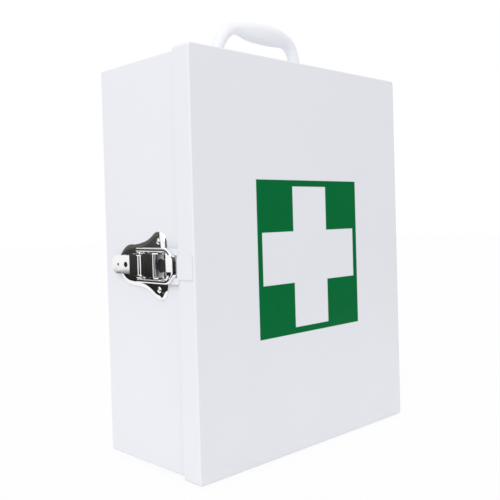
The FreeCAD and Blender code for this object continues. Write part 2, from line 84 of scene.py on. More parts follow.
class Finish:                                   # a node tree that is filled by add()
    def __init__(self, tree):
        self.tree = tree
        self.tree.nodes.clear()

    def add(self, kind, settings=None, sockets=None, out=0):
        node = self.tree.nodes.new(kind)
        for key, value in (settings or {}).items():
            setattr(node, key, value)
        for key, value in (sockets or {}).items():
            if isinstance(value, Wire):
                self.tree.links.new(value.socket, node.inputs[key])
            else:
                node.inputs[key].default_value = value
        return Wire(self, node.outputs[out] if node.outputs else None)

    def places(self):                           # metres in the part's own frame
        return self.add("ShaderNodeTexCoord", out="Object")

    def noise(self, size, detail):              # soft spots of about that size
        sockets = {"Vector": self.places(), "Scale": 1 / size, "Detail": detail}
        return self.add("ShaderNodeTexNoise", None, sockets)

    def vary(self, value, noise, spread):       # up and down from the value, as the noise goes
        return value + (noise - 0.5) * spread

    def blendColours(self, factor, first, second):
        sockets = {0: factor, 6: first, 7: second}      # the Mix node's colour sockets
        return self.add("ShaderNodeMix", {"data_type": "RGBA"}, sockets, out=2)

    def bump(self, height, strength, distance):
        sockets = {"Height": height, "Strength": strength, "Distance": distance}
        return self.add("ShaderNodeBump", None, sockets)

    def close(self, **sockets):                 # the surface shader and the output
        named = {key.replace("_", " "): value for key, value in sockets.items()}
        surface = self.add("ShaderNodeBsdfPrincipled", None, named)
        self.add("ShaderNodeOutputMaterial", None, {"Surface": surface})


def newFinish(name):
    material = bpy.data.materials.new(name)
    material.use_nodes = True
    return material, Finish(material.node_tree)


def rgb(red, green, blue):                      # 0 to 255 as seen on screen, to linear light
    shares = [value / 255 for value in (red, green, blue)]
    return tuple(s / 12.92 if s < 0.04045 else ((s + 0.055) / 1.055) ** 2.4 for s in shares) + (1.0,)


# finishes, with the sizes of their grain in metres

paint = {
    "light": rgb(235, 237, 243), "dark": rgb(231, 233, 239), "cloud": 0.09, "peel": 0.0016,
    "roughness": 0.4, "cloudSpread": 0.12, "peelSpread": 0.08, "bump": 0.10, "depth": 0.05 * mm, "ior": 1.5,
}


def powderCoat():
    material, finish = newFinish("powderCoat")
    clouds = finish.noise(paint["cloud"], detail=3.0)
    peel = finish.noise(paint["peel"], detail=2.0)
    roughness = finish.vary(paint["roughness"], clouds, paint["cloudSpread"])
    finish.close(Base_Color=finish.blendColours(clouds, paint["light"], paint["dark"]),
                 Roughness=finish.vary(roughness, peel, paint["peelSpread"]),
                 Normal=finish.bump(peel, paint["bump"], paint["depth"]),
                 IOR=paint["ior"])
    return material


vinyl = {
    "light": rgb(2, 110, 57), "dark": rgb(0, 104, 52), "cloud": 1 / 30, "grain": 0.0007,
    "roughness": 0.36, "spread": 0.1, "bump": 0.08, "depth": 0.02 * mm, "specular": 0.06,
}


def signVinyl():
    material, finish = newFinish("signVinyl")
    clouds = finish.noise(vinyl["cloud"], detail=3.0)
    grain = finish.noise(vinyl["grain"], detail=1.0)
    finish.close(Base_Color=finish.blendColours(clouds, vinyl["light"], vinyl["dark"]),
                 Roughness=finish.vary(vinyl["roughness"], grain, vinyl["spread"]),
                 Normal=finish.bump(grain, vinyl["bump"], vinyl["depth"]),
                 Specular_IOR_Level=vinyl["specular"])
    return material


chrome = {
    "light": (0.97, 0.97, 0.975, 1.0), "dark": (0.91, 0.91, 0.915, 1.0), "smear": 0.006,
    "roughness": 0.06, "spread": 0.06,
}


def latchChrome():
    material, finish = newFinish("latchChrome")
    smear = finish.noise(chrome["smear"], detail=4.0)
    finish.close(Base_Color=finish.blendColours(smear, chrome["light"], chrome["dark"]), Metallic=1.0,
                 Roughness=finish.vary(chrome["roughness"], smear, chrome["spread"]))
    return material


zinc = {
    "light": (0.84, 0.85, 0.86, 1.0), "dark": (0.7, 0.72, 0.74, 1.0), "spangle": 0.0025,
    "roughness": 0.42, "spread": 0.2,
}


def zincPlate():
    material, finish = newFinish("zincPlate")
    spangle = finish.noise(zinc["spangle"], detail=3.0)
    finish.close(Base_Color=finish.blendColours(spangle, zinc["light"], zinc["dark"]), Metallic=1.0,
                 Roughness=finish.vary(zinc["roughness"], spangle, zinc["spread"]))
    return material


moulding = {
    "light": rgb(233, 234, 239), "dark": rgb(230, 231, 237), "cloud": 0.025, "grain": 0.0009,
    "roughness": 0.36, "spread": 0.1, "bump": 0.06, "depth": 0.03 * mm, "specular": 0.35,
    "glowReach": (1.0, 1.0, 1.0), "glowDepth": 18 * mm,
}


def mouldedWhite():
    material, finish = newFinish("mouldedWhite")
    clouds = finish.noise(moulding["cloud"], detail=2.0)
    grain = finish.noise(moulding["grain"], detail=2.0)
    finish.close(Base_Color=finish.blendColours(clouds, moulding["light"], moulding["dark"]),
                 Roughness=finish.vary(moulding["roughness"], grain, moulding["spread"]),
                 Normal=finish.bump(grain, moulding["bump"], moulding["depth"]),
                 Specular_IOR_Level=moulding["specular"],
                 Subsurface_Weight=1.0, Subsurface_Radius=moulding["glowReach"],
                 Subsurface_Scale=moulding["glowDepth"])
    return material


rubber = {
    "light": (0.035, 0.035, 0.036, 1.0), "dark": (0.02, 0.02, 0.02, 1.0), "grain": 0.0006,
    "roughness": 0.72, "spread": 0.2, "bump": 0.3, "depth": 0.05 * mm,
}


def footRubber():
    material, finish = newFinish("footRubber")
    grain = finish.noise(rubber["grain"], detail=3.0)
    finish.close(Base_Color=finish.blendColours(grain, rubber["light"], rubber["dark"]),
                 Roughness=finish.vary(rubber["roughness"], grain, rubber["spread"]),
                 Normal=finish.bump(grain, rubber["bump"], rubber["depth"]))
    return material


finishes = {
    "white_paint": powderCoat(),
    "latch_chrome": latchChrome(),
    "zinc_steel": zincPlate(),
    "handle_plastic": mouldedWhite(),
    "green_vinyl": signVinyl(),
    "foot_rubber": footRubber(),
}
for subpart in frame["record"]["subparts"]:
    nodes[subpart["node"]].data.materials.clear()
    nodes[subpart["node"]].data.materials.append(finishes[subpart["material_slot"]])
print("finishes set on the CAD nodes:", len(finishes))


# lines, outlines and skins that the pieces are made of

def within(value):                              # held between 0 and 1
    return min(max(value, 0.0), 1.0)


def between(first, second, share):
    return first + (second - first) * share


def eased(share):                               # starts and ends gently
    return share ** 2 * (3 - 2 * share)


def smoothLine(keys, steps):                    # a curve through the keys, in so many steps from key to key
    line = []
    last = len(keys) - 1
    for index in range(last):
        around = [min(max(index + shift, 0), last) for shift in (-1, 0, 1, 2)]
        before, first, second, after = (Vector(keys[place]) for place in around)
        for step in range(steps):
            t = step / steps
            line.append(0.5 * (2 * first + (second - before) * t
                               + (2 * before - 5 * first + 4 * second - after) * t ** 2
                               + (3 * first - before - 3 * second + after) * t ** 3))
    return line + [Vector(keys[-1])]


def drawnIn(loop, distance):                    # a closed loop moved towards its left hand
    moved = []
    for index, point in enumerate(loop):
        along = (loop[(index + 1) % len(loop)] - loop[index - 1]).normalized()
        moved.append(point + Vector((-along.y, along.x)) * distance)
    return moved


def ring(place, rise, radius, steps):
    turns = [2 * math.pi * step / steps for step in range(steps)]
    return [Vector((place + radius * math.cos(turn), rise + radius * math.sin(turn))) for turn in turns]


def squaredOval(place, rise, halfPlace, halfRise, power, steps):        # an oval at power 1, squarer below
    outline = []
    for point in ring(0.0, 0.0, 1.0, steps):
        across, up = (math.copysign(abs(value) ** power, value) for value in point)
        outline.append(Vector((place + halfPlace * across, rise + halfRise * up)))
    return outline


def oblong(front, back, half):
    return [Vector((front, -half)), Vector((back, -half)), Vector((back, half)), Vector((front, half))]


def roundedFrame(wide, low, high, fold, steps):         # a rounded rectangle across the cabinet, as (x, z)
    corners = [(wide - fold, high - fold, 0.0), (-wide + fold, high - fold, 90.0),
               (-wide + fold, low + fold, 180.0), (wide - fold, low + fold, 270.0)]
    points = []
    for x, z, turn in corners:
        for step in range(steps + 1):
            angle = math.radians(turn + 90.0 * step / steps)
            points.append((x + fold * math.cos(angle), z + fold * math.sin(angle)))
    return points


def skin(shape, loops, capped=False):           # faces from loop to loop, all closed and of one count
    rows = [[shape.verts.new(point) for point in loop] for loop in loops]
    for here, there in zip(rows, rows[1:]):
        for step in range(len(here)):
            after = (step + 1) % len(here)
            shape.faces.new((here[step], here[after], there[after], there[step]))
    if capped:
        shape.faces.new(rows[0])
        shape.faces.new(rows[-1])


def slab(shape, outline, holes, place, thick):  # a plate with holes, thickened along a vector in millimetres
    edges = []
    for loop in [outline] + holes:
        verts = [shape.verts.new(place(point)) for point in loop]
        edges += [shape.edges.new((verts[index - 1], verts[index])) for index in range(len(verts))]
    filled = bmesh.ops.triangle_fill(shape, use_beauty=True, edges=edges)
    faces = [item for item in filled["geom"] if isinstance(item, bmesh.types.BMFace)]
    grown = bmesh.ops.extrude_face_region(shape, geom=faces, use_keep_orig=True)
    moved = [item for item in grown["geom"] if isinstance(item, bmesh.types.BMVert)]
    bmesh.ops.translate(shape, vec=thick * mm, verts=moved)


def addObject(name, data):
    added = bpy.data.objects.new(name, data)
    bpy.context.scene.collection.objects.link(added)
    return added


edgeWork = {"weld": 0.004, "rounds": 3, "bevelFrom": 40.0}      # millimetres, steps and degrees


def finishPiece(shape, name, slot, body, node=None, soften=0.0, crease=35.0):
    bmesh.ops.remove_doubles(shape, verts=shape.verts, dist=edgeWork["weld"] * mm)
    bmesh.ops.recalc_face_normals(shape, faces=shape.faces)
    mesh = bpy.data.meshes.new(name)
    shape.to_mesh(mesh)
    shape.free()
    mesh.materials.append(finishes[slot])
    mesh.shade_smooth()
    mesh.set_sharp_from_angle(angle=math.radians(crease))
    piece = addObject(name, mesh)
    if soften:
        bevel = piece.modifiers.new("edges", "BEVEL")
        bevel.width = soften * mm
        bevel.segments = edgeWork["rounds"]
        bevel.limit_method = "ANGLE"
        bevel.angle_limit = math.radians(edgeWork["bevelFrom"])
        bevel.harden_normals = True
    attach(piece, body)
    if node:
        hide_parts(node)
    return piece


# draw latch, in millimetres: place back from the loop's front, height out from the cabinet's side
# and rise from the latch's middle

latch = {"side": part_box("body_wrap")[0][0], "front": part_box("latch_loop")[0][1],
         "middle": (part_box("latch_loop")[0][2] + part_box("latch_loop")[1][2]) / 2}


def onLatch(place, height, rise):
    return Vector((latch["side"] - height * mm, latch["front"] + place * mm, latch["middle"] + rise * mm))


def upright(rise):                              # sets a side view at one rise
    return lambda point: onLatch(point.x, point.y, rise)


def leaning(start, height, slope):              # sets a flat outline on a plate that climbs to the back
    return lambda point: onLatch(point.x, height + (point.x - start) * slope, point.y)


def stacked(outline, levels):                   # the outline drawn in and raised, level by level
    return [[onLatch(point.x, height, point.y) for point in drawnIn(outline, inset)]
            for inset, height in levels]


wingedBase = {                                  # half outline from the tail to the front
    "half": [(90.4, 0.0), (89.3, 5.6), (85.4, 11.2), (80.5, 15.6), (74.5, 18.6), (67.0, 19.9), (59.0, 20.4),
             (51.0, 21.4), (43.5, 23.6), (37.5, 26.7), (32.5, 29.9), (27.5, 31.5), (22.6, 31.0), (18.7, 28.4),
             (16.5, 24.4), (15.6, 19.5), (15.3, 13.0), (15.3, 6.0), (15.3, 0.0)],
    "steps": 6, "low": 0.8, "top": 3.05, "crease": 50.0,
    "tip": 26.5, "tipRoll": 0.9, "sideRoll": 4.8,               # the front edge lies before the tips' place
    "frontRoll": 5.6, "facingFrom": 0.35, "facingSpan": 0.5,    # full where the edge faces the front
    "bank": 0.27, "bankShare": 0.6,                             # the steep outer part of the front roll
    "floorRoll": 18.5, "floorHalf": 12.5, "floorFade": 4.0,     # a longer slope between the ears
    "holePlace": 22.0, "holeRadius": 6.3, "holeSteps": 56,
    "rings": [0.12, 0.35, 0.7, 1.15, 1.7, 2.4, 3.2], "ringKeep": 0.9, "ringGap": 0.3,
    "cell": 1.1, "cellGap": 0.5, "gridStart": 15.0, "join": 1e-5,   # even mesh inside the rings
}


def baseOutline():
    half = smoothLine(wingedBase["half"], wingedBase["steps"])
    return half + [Vector((point.x, -point.y)) for point in reversed(half[1:-1])]


def baseHole():
    return ring(wingedBase["holePlace"], 0.0, wingedBase["holeRadius"], wingedBase["holeSteps"])


def inHole(point, gap=0.0):
    return math.hypot(point.x - wingedBase["holePlace"], point.y) < wingedBase["holeRadius"] + gap


def inOutline(point, outline):                  # an odd number of edges lies beyond a point inside
    crossings = 0
    for first, second in zip(outline, outline[1:] + outline[:1]):
        if (first.y > point.y) != (second.y > point.y):
            share = (point.y - first.y) / (second.y - first.y)
            crossings += point.x < between(first.x, second.x, share)
    return crossings % 2 == 1


def nearestOn(points):                          # finds the nearest of the points: its index and distance
    tree = kdtree.KDTree(len(points))
    for index, point in enumerate(points):
        tree.insert((point.x, point.y, 0.0), index)
    tree.balance()

    def find(point):
        _, index, distance = tree.find((point.x, point.y, 0.0))
        return index, distance

    return find


def pressedHeights(finer):                      # the base's height over a point, rolled down to its edge
    tip = wingedBase["tip"]
    frontPoints = [index for index, point in enumerate(finer) if point.x < tip]
    frontLine = nearestOn([finer[index] for index in frontPoints])
    sideLine = nearestOn([point for point in finer if point.x >= tip])
    frontWidths = []                            # wide where the edge faces the front, narrow round the tips
    for index in frontPoints:
        facing = (finer[index - 1] - finer[index + 1]).normalized().y
        share = eased(within((facing - wingedBase["facingFrom"]) / wingedBase["facingSpan"]))
        frontWidths.append(between(wingedBase["tipRoll"], wingedBase["frontRoll"], share))

    def rolled(distance, width):                # a quarter round
        return math.sqrt(max(0.0, 1 - (1 - min(distance / width, 1.0)) ** 2))

    def height(point):
        flat = within((wingedBase["floorHalf"] - abs(point.y)) / wingedBase["floorFade"])
        nearest, front = frontLine(point)
        wide = between(frontWidths[nearest], wingedBase["floorRoll"], flat)
        bank = wingedBase["bank"] * wide
        past = within((front - bank) / (wide - bank))
        banked = between(1 - (1 - past) ** 2, min(front / bank, 1.0), wingedBase["bankShare"])
        frontShare = between(banked, rolled(front, wide), flat)
        share = frontShare * rolled(sideLine(point)[1], wingedBase["sideRoll"])
        return between(wingedBase["low"], wingedBase["top"], share)

    return height


def basePoints(outline, finer, hole):           # the edges, rings along the outer one and an even grid
    edgeLine = nearestOn(finer)
    points = outline + hole
    for inset in wingedBase["rings"]:
        for point in drawnIn(outline, inset):
            apart = edgeLine(point)[1] > wingedBase["ringKeep"] * inset
            if apart and not inHole(point, wingedBase["ringGap"]):
                points.append(point)
    cell, start, innermost = wingedBase["cell"], wingedBase["gridStart"], wingedBase["rings"][-1]
    rows = math.ceil(max(point.y for point in outline) / cell)
    columns = math.ceil((max(point.x for point in outline) - start) / cell) + 1
    for row in range(-rows, rows + 1):
        for column in range(columns):           # every second row is half a cell over
            point = Vector((start + (column + 0.5 * (row % 2)) * cell, row * cell))
            apart = edgeLine(point)[1] > innermost and inOutline(point, outline)
            if apart and not inHole(point, wingedBase["cellGap"]):
                points.append(point)
    return points


def pressBase():
    outline = baseOutline()
    finer = smoothLine(outline + outline[:1], wingedBase["steps"])
    hole = baseHole()
    height = pressedHeights(finer)
    points = basePoints(outline, finer, hole)
    outer, inner = len(outline), len(hole)
    edges = [(index, (index + 1) % outer) for index in range(outer)]
    edges += [(outer + index, outer + (index + 1) % inner) for index in range(inner)]
    keepInside = 1                              # the triangles within the edges
    flat, _, triangles, *_ = geometry.delaunay_2d_cdt(points, edges, [], keepInside, wingedBase["join"])
    shape = bmesh.new()
    verts = [shape.verts.new(onLatch(point.x, height(point), point.y)) for point in flat]
    for triangle in triangles:
        middle = sum((flat[index] for index in triangle), Vector((0.0, 0.0))) / 3
        if not inHole(middle):
            shape.faces.new([verts[index] for index in triangle])
    for rim in (outline, hole):                 # walls down to the cabinet's side
        skin(shape, [[onLatch(point.x, height(point), point.y) for point in rim],
                     [onLatch(point.x, 0.0, point.y) for point in rim]])
    for vert in [vert for vert in shape.verts if not vert.link_faces]:
        shape.verts.remove(vert)
    bmesh.ops.remove_doubles(shape, verts=shape.verts, dist=edgeWork["weld"] * mm)
    lowerEdges = [edge for edge in shape.edges if edge.is_boundary]
    bmesh.ops.triangle_fill(shape, use_beauty=True, edges=lowerEdges)
    return finishPiece(shape, "latchBase", "latch_chrome", "cabinet", "latch_base",
                       crease=wingedBase["crease"])


shadePads = {                                        # painted shade: dark rubber slabs put in the base's round hole and under the lever's tab, where there is only shade
    "latchHoleShadePad": {"place": wingedBase["holePlace"], "halfPlace": 6.25, "halfRise": 6.25, "power": 1.0,
                 "steps": 56, "low": 0.0, "top": 1.1, "edge": 0.25},
    "latchTabShadePad": {"place": 77.0, "halfPlace": 9.0, "halfRise": 6.0, "power": 0.4,
                    "steps": 56, "low": 2.6, "top": 4.0, "edge": 0.3},
}


# painted shade: a dark rubber slab that stands in for the shade in a hollow of the latch
def layShadePad(name, pad):
    outline = squaredOval(pad["place"], 0.0, pad["halfPlace"], pad["halfRise"], pad["power"], pad["steps"])
    levels = [(0.0, pad["low"]), (0.0, pad["top"] - pad["edge"]), (pad["edge"], pad["top"])]
    shape = bmesh.new()
    skin(shape, stacked(outline, levels), capped=True)
    return finishPiece(shape, name, "foot_rubber", "cabinet")


floorPlate = {"front": 16.0, "back": 34.0, "half": 10.45, "low": 2.2, "slope": 0.09, "thick": 0.7,
              "edge": 0.12}


def layFloorPlate():                            # the satin floor between the ears, open over the round hole
    shape = bmesh.new()
    slab(shape, oblong(floorPlate["front"], floorPlate["back"], floorPlate["half"]), [baseHole()],
         leaning(floorPlate["front"], floorPlate["low"], floorPlate["slope"]),
         Vector((floorPlate["thick"], 0, 0)))
    return finishPiece(shape, "latchFloor", "zinc_steel", "cabinet", soften=floorPlate["edge"])


earPlate = {                                    # side view, from the front over the top to the back
    "side": [(17.2, 1.2), (18.6, 4.6), (21.4, 7.4), (24.6, 8.9), (27.4, 9.2), (30.4, 8.5), (33.6, 7.6),
             (38.0, 7.4), (41.6, 6.8), (43.8, 5.0), (44.6, 1.2)],
    "steps": 6, "inside": 10.6, "thick": 1.2, "edge": 0.28,
}


def foldEars():
    shape = bmesh.new()
    ear = smoothLine(earPlate["side"], earPlate["steps"])
    for side in (-1, 1):
        slab(shape, ear, [], upright(side * earPlate["inside"]), Vector((0, 0, side * earPlate["thick"])))
    return finishPiece(shape, "latchEars", "latch_chrome", "cabinet", soften=earPlate["edge"])


handLever = {                                   # side view: top from front to back, then the underside
    "top": [(25.1, 6.2), (25.1, 7.9), (25.25, 8.5), (25.7, 8.95), (26.3, 9.1), (26.9, 9.02), (27.3, 8.75),
            (27.6, 8.35), (27.9, 8.1), (28.4, 8.05), (28.8, 8.05), (45.5, 8.05), (46.0, 8.05), (46.2, 8.1),
            (46.6, 8.29), (46.8, 8.33), (47.1, 8.33), (48.9, 8.33), (49.2, 8.33), (49.4, 8.38), (49.8, 8.59),
            (50.0, 8.63), (50.3, 8.63), (50.6, 8.5), (51.3, 7.85), (51.8, 7.73), (66.9, 5.81), (67.4, 5.75)],
    "under": [(67.4, 4.4), (58.0, 5.6), (51.6, 6.4), (50.6, 5.0), (48.4, 3.9), (46.2, 5.0), (45.4, 6.4),
              (30.4, 6.4), (29.4, 5.0), (27.4, 3.7)],
    "half": 10.2, "edge": 0.15,
    "tabStart": 66.6, "tabEnd": 93.0, "tabHalf": 8.8, "tabLow": 5.72, "tabRise": 0.091, "tabThick": 1.4,
    "holes": [(83.4, 1.45), (72.6, 2.6)], "steps": 28,
}


def bendLever():
    shape = bmesh.new()
    side = [Vector(point) for point in handLever["top"] + handLever["under"]]
    slab(shape, side, [], upright(-handLever["half"]), Vector((0, 0, 2 * handLever["half"])))
    start, half, steps = handLever["tabStart"], handLever["tabHalf"], handLever["steps"]
    centre = handLever["tabEnd"] - half
    turns = [math.pi * (step / steps - 0.5) for step in range(steps + 1)]
    roundEnd = [Vector((centre + half * math.cos(turn), half * math.sin(turn))) for turn in turns]
    tab = [Vector((start, -half))] + roundEnd + [Vector((start, half))]
    holes = [ring(place, 0.0, radius, steps) for place, radius in handLever["holes"]]
    slab(shape, tab, holes, leaning(start, handLever["tabLow"], handLever["tabRise"]),
         Vector((handLever["tabThick"], 0, 0)))
    return finishPiece(shape, "latchLever", "latch_chrome", "lever", "latch_lever", soften=handLever["edge"])


wireLoop = {                                    # sections from the frame's outside inwards: inset, height
    "arm": [(0.0, 5.0), (0.0, 7.0), (0.12, 7.5), (0.4, 7.95), (0.8, 8.2), (1.15, 8.27), (1.4, 8.27),
            (2.2, 8.27), (2.45, 8.27), (2.8, 8.2), (3.2, 7.95), (3.48, 7.5), (3.6, 7.0), (3.6, 6.2),
            (3.6, 5.2), (3.2, 4.5), (1.8, 4.4), (0.4, 4.5)],
    "bend": [(0.0, 5.4), (0.0, 7.0), (0.12, 7.55), (0.4, 8.0), (0.75, 8.25), (1.0, 8.33), (1.3, 8.33),
             (2.9, 8.25), (3.2, 8.23), (3.6, 8.4), (4.2, 8.95), (4.9, 9.35), (5.6, 9.42), (6.1, 9.1),
             (6.4, 8.2), (6.2, 7.4), (3.2, 6.4), (1.6, 5.4)],
    "nose": [(-2.0, 2.4), (-0.19, 5.9), (0.02, 6.3), (0.2, 6.65), (0.5, 6.95), (0.9, 7.22), (1.5, 7.6),
             (2.3, 8.08), (3.2, 8.55), (4.2, 9.0), (5.2, 9.4), (6.1, 9.65), (6.5, 9.7), (6.8, 9.68),
             (9.3, 9.2), (9.4, 7.8), (2.6, 6.9), (2.0, 2.4)],
    "half": 16.1, "corner": 11.5, "armEnd": 54.2, "armRound": 2.6, "armMiddle": 6.4, "thinnest": 0.01,
    "endSteps": 12, "armSteps": 8, "cornerSteps": 32, "noseSteps": 6, "crease": 48.0,
    "tongueHalf": 9.6, "armLow": 4.4, "lowClimb": 2.0, "sideLow": 5.4,      # lowest beside the tongue
    "lipFront": 7.0, "lipBack": 9.7, "lipHalf": 10.6, "lipHigh": 9.62, "lipSlope": -0.18, "lipThick": 0.8,
}


def loopPath():                                 # outer outline: place, rise, inward direction, nose's share
    half, corner, end = wireLoop["half"], wireLoop["corner"], wireLoop["armEnd"]
    armStart = end - wireLoop["armRound"]
    endSteps, armSteps = wireLoop["endSteps"], wireLoop["armSteps"]
    cornerSteps, noseSteps = wireLoop["cornerSteps"], wireLoop["noseSteps"]
    path = []
    for step in range(endSteps + 1):
        turn = math.pi / 2 * step / endSteps
        path.append((end - wireLoop["armRound"] * (1 - math.cos(turn)), half, Vector((0.0, -1.0)), 0.0))
    for step in range(1, armSteps + 1):
        path.append((between(armStart, corner, step / armSteps), half, Vector((0.0, -1.0)), 0.0))
    for step in range(1, cornerSteps + 1):
        turn = math.pi / 2 * step / cornerSteps
        inward = Vector((math.sin(turn), -math.cos(turn)))
        path.append((corner * (1 - math.sin(turn)), half - corner * (1 - math.cos(turn)), inward,
                     step / cornerSteps))
    for step in range(1, noseSteps + 1):
        path.append((0.0, (half - corner) * (1 - step / noseSteps), Vector((1.0, 0.0)), 1.0))
    return path + [(place, -rise, Vector((inward.x, -inward.y)), share)
                   for place, rise, inward, share in reversed(path[:-1])]


def loopSection(place, rise, inward, share):
    first, second = ("arm", "bend") if share < 0.5 else ("bend", "nose")
    blend = eased(2 * share if share < 0.5 else 2 * share - 1)
    ending = within((wireLoop["armEnd"] - place) / wireLoop["armRound"])
    fullness = math.sqrt(max(wireLoop["thinnest"], 1 - (1 - ending) ** 2))
    lowest = min(wireLoop["sideLow"], wireLoop["armLow"] + wireLoop["lowClimb"] * share)
    section = []
    for (insetA, highA), (insetB, highB) in zip(wireLoop[first], wireLoop[second]):
        inset = between(insetA, insetB, blend)
        height = between(wireLoop["armMiddle"], between(highA, highB, blend), fullness)
        if abs(rise) > wireLoop["tongueHalf"]:  # only the tongue reaches down and forward into the catch
            inset = max(inset, 0.0)
            height = max(height, lowest)
        section.append(onLatch(place + inward.x * inset, height, rise + inward.y * inset))
    return section


def bendLoop():
    shape = bmesh.new()
    skin(shape, [loopSection(*station) for station in loopPath()], capped=True)
    lip = oblong(wireLoop["lipFront"], wireLoop["lipBack"], wireLoop["lipHalf"])    # inner edge of the nose
    slab(shape, lip, [], leaning(wireLoop["lipFront"], wireLoop["lipHigh"], wireLoop["lipSlope"]),
         Vector((wireLoop["lipThick"], 0, 0)))
    return finishPiece(shape, "latchLoop", "latch_chrome", "loop", "latch_loop", crease=wireLoop["crease"])


knuckle = {                                     # rounds from the foot to the top: inset, height
    "place": 48.6, "rise": 10.35, "halfPlace": 3.7, "halfRise": 2.0, "power": 0.6, "steps": 36,
    "crease": 50.0,
    "rounds": [(0.0, 4.6), (0.0, 7.4), (0.1, 8.1), (0.35, 8.75), (0.75, 9.15), (1.2, 9.3), (1.5, 9.32)],
}


def setKnuckles():                              # the two curled ends on the loop's pin, beside the lever
    shape = bmesh.new()
    for side in (-1, 1):
        outline = squaredOval(knuckle["place"], side * knuckle["rise"], knuckle["halfPlace"],
                              knuckle["halfRise"], knuckle["power"], knuckle["steps"])
        skin(shape, stacked(outline, knuckle["rounds"]), capped=True)
    return finishPiece(shape, "latchKnuckles", "latch_chrome", "lever", crease=knuckle["crease"])


pressBase()
# painted shade: the dark slabs in the round hole and under the tab
for shadeName, shadeSizes in shadePads.items():
    layShadePad(shadeName, shadeSizes)
layFloorPlate()
foldEars()
bendLever()
bendLoop()
setKnuckles()
print("latch dressed: base, pads, floor, ears, lever, loop and knuckles")


# cabinet sleeve, in millimetres: crisp folds, and a top and bottom that reach nearer to the door's returns

sleeve = {"sheet": 1.2, "reach": 0.9, "outerFold": 1.1, "innerFold": 2.8, "steps": 6, "edge": 0.2,
          "crease": 30.0}


def foldSleeve():
    low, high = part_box("body_wrap")
    wide, front, back, middle = high[0], low[1], high[1], (low[2] + high[2]) / 2
    sheet, reach, edge, outerFold, innerFold = (
        sleeve[key] * mm for key in ("sheet", "reach", "edge", "outerFold", "innerFold"))
    outer = roundedFrame(wide, low[2] - reach, high[2] + reach, outerFold, sleeve["steps"])
    inner = roundedFrame(wide - sheet, low[2] + sheet, high[2] - sheet, innerFold, sleeve["steps"])

    def level(loop, inset, y):
        return [Vector((x - math.copysign(inset, x), y, z - math.copysign(inset, z - middle)))
                for x, z in loop]

    shape = bmesh.new()
    skin(shape, [level(outer, edge, front), level(outer, 0.0, front + edge), level(outer, 0.0, back - edge),
                 level(outer, edge, back), level(inner, 0.0, back), level(inner, 0.0, front),
                 level(outer, edge, front)])
    return finishPiece(shape, "bodySleeve", "white_paint", "cabinet", "body_wrap", crease=sleeve["crease"])


# door tray, in millimetres: crisp folds and ground corners

doorTray = {"sheet": 1.2, "fold": 1.4, "corner": 3.2, "edge": 0.2, "steps": 6, "crease": 30.0}


def foldDoor():
    low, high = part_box("door_panel")
    front, back, steps = low[1], high[1], doorTray["steps"]
    sheet, fold, corner, edge = (doorTray[key] * mm for key in ("sheet", "fold", "corner", "edge"))
    turns = [math.pi / 2 * step / steps for step in range(steps + 1)]

    def level(inset, y):
        loop = roundedFrame(high[0] - inset, low[2] + inset, high[2] - inset, corner - inset, steps)
        return [Vector((x, y, z)) for x, z in loop]

    def folded(inset, radius):                  # round the fold, from the return to the front face
        return [level(inset + radius * (1 - math.cos(turn)), front + inset + radius * (1 - math.sin(turn)))
                for turn in turns]

    inside = [level(sheet, back)] + folded(sheet, fold - sheet)
    outside = [level(edge, back), level(0.0, back - edge)] + folded(0.0, fold)
    shape = bmesh.new()
    skin(shape, inside[::-1] + outside, capped=True)
    door = finishPiece(shape, "doorTray", "white_paint", "door", "door_panel", crease=doorTray["crease"])
    flats = door.modifiers.new("flats", "WEIGHTED_NORMAL")
    flats.keep_sharp = True
    return door


foldSleeve()
foldDoor()
print("sleeve and door folded")


# carrying handle, in millimetres: across, rise over the cabinet's top, half thickness and half depth

carryLoop = {                                   # the foot is round: rise and radius
    "footAcross": 58.8, "foot": [(0.6, 8.9), (2.2, 8.8), (3.4, 8.0), (5.0, 7.1), (7.4, 6.6)],
    "line": [(-58.8, 12.0, 6.4, 6.5), (-58.7, 18.0, 6.3, 6.5), (-57.9, 24.0, 6.3, 6.5),
             (-55.4, 30.0, 6.5, 6.5), (-51.8, 35.3, 6.6, 6.5), (-47.2, 40.4, 6.6, 6.5),
             (-41.6, 44.5, 6.3, 6.6), (-35.6, 46.9, 6.0, 6.8), (-28.9, 48.0, 6.3, 7.2),
             (-22.5, 48.1, 7.5, 7.9), (-15.4, 47.9, 9.0, 8.7), (-6.5, 47.75, 9.95, 9.5),
             (3.7, 47.6, 10.2, 10.0), (15.5, 47.45, 10.25, 10.2), (25.7, 47.1, 9.7, 10.0),
             (34.2, 46.3, 8.5, 9.4), (42.0, 45.0, 7.0, 8.5), (47.7, 42.2, 6.3, 7.6),
             (52.0, 38.0, 6.4, 6.9), (55.0, 32.9, 6.5, 6.5), (56.6, 26.5, 6.5, 6.5),
             (57.6, 19.0, 6.4, 6.5), (58.5, 12.0, 6.4, 6.5)],
    "steps": 6, "around": 48, "crease": 60.0,
    "slim": 6.5, "fuller": 3.5, "slimSquare": 2.0, "fullSquare": 2.5,   # the grip is squarer than the legs
}


